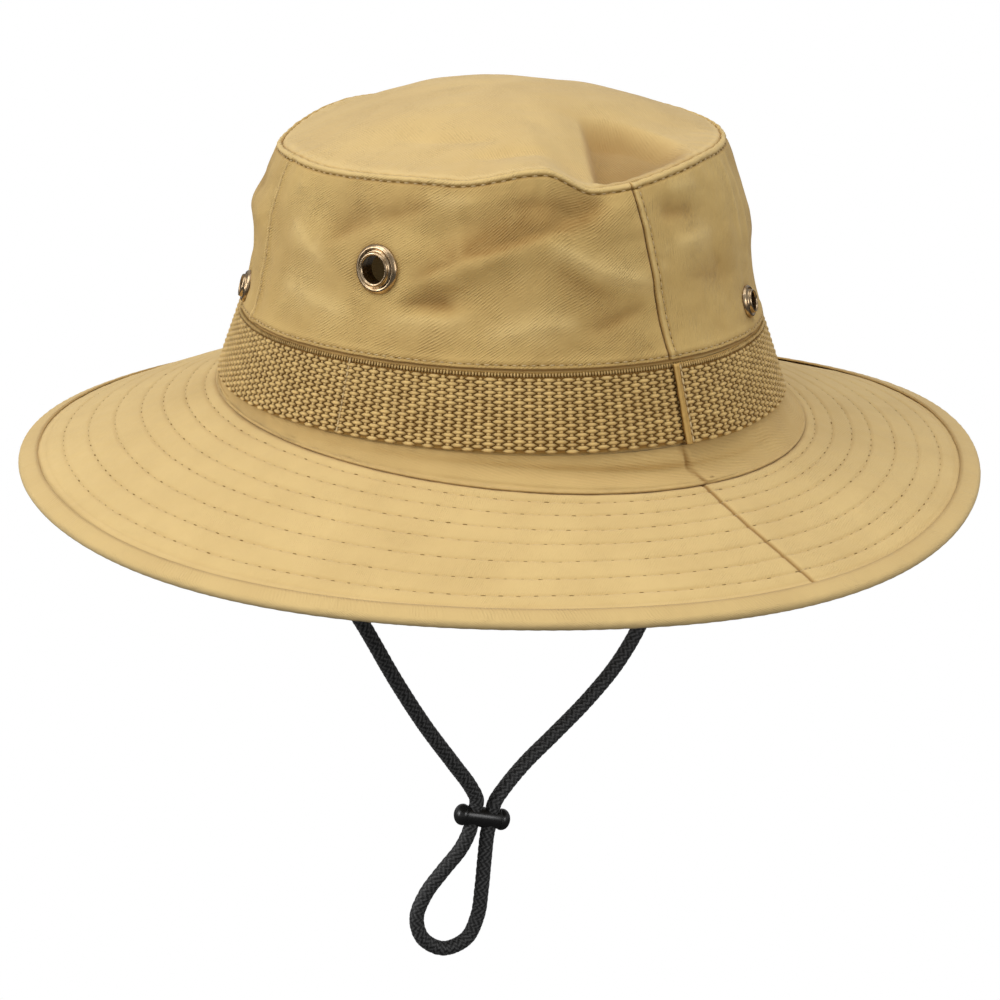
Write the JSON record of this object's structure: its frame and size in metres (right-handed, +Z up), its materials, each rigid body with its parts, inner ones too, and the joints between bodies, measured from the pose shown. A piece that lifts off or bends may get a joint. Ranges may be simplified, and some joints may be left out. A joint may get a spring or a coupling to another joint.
{
  "type": "scout hat",
  "caption": "Soft cotton hat with a round crown, wide quilted brim, woven webbing band, vent eyelets and a hanging chin cord with a sliding toggle.",
  "frame": {"origin": "middle of the head opening, level with the foot of the webbing band, where the hat sits on a head", "axes": "+Z up through the crown, -Y the back of the hat with its seams, +Y the front, +X the wearer's right"},
  "size_m": [0.3165, 0.3506, 0.31],
  "materials": {
    "khaki_cotton": "khaki cotton twill, washed",
    "khaki_brim": "khaki cotton twill, quilted with rings of stitches",
    "khaki_binding": "khaki cotton binding, rolled",
    "woven_webbing": "coarse woven webbing with a slight sheen",
    "antique_brass": "antique brass, satin",
    "black_tape": "black cotton tape",
    "black_braid": "black braided cord",
    "black_plastic": "black plastic, semi-gloss"
  },
  "bodies": {
    "root": {"crown_tip": "khaki_cotton", "crown_panel_left": "khaki_cotton", "crown_panel_right": "khaki_cotton", "crown_panel_front": "khaki_cotton", "crown_base": "khaki_cotton", "brim": "khaki_brim", "brim_binding": "khaki_binding", "webbing_band": "woven_webbing", "eyelet_left_back": "antique_brass", "eyelet_left_front": "antique_brass", "eyelet_right_back": "antique_brass", "eyelet_right_front": "antique_brass", "cord_tab_left": "black_tape", "cord_tab_right": "black_tape", "chin_cord": "black_braid", "cord_toggle": "black_plastic"}
  },
  "joints": []
}
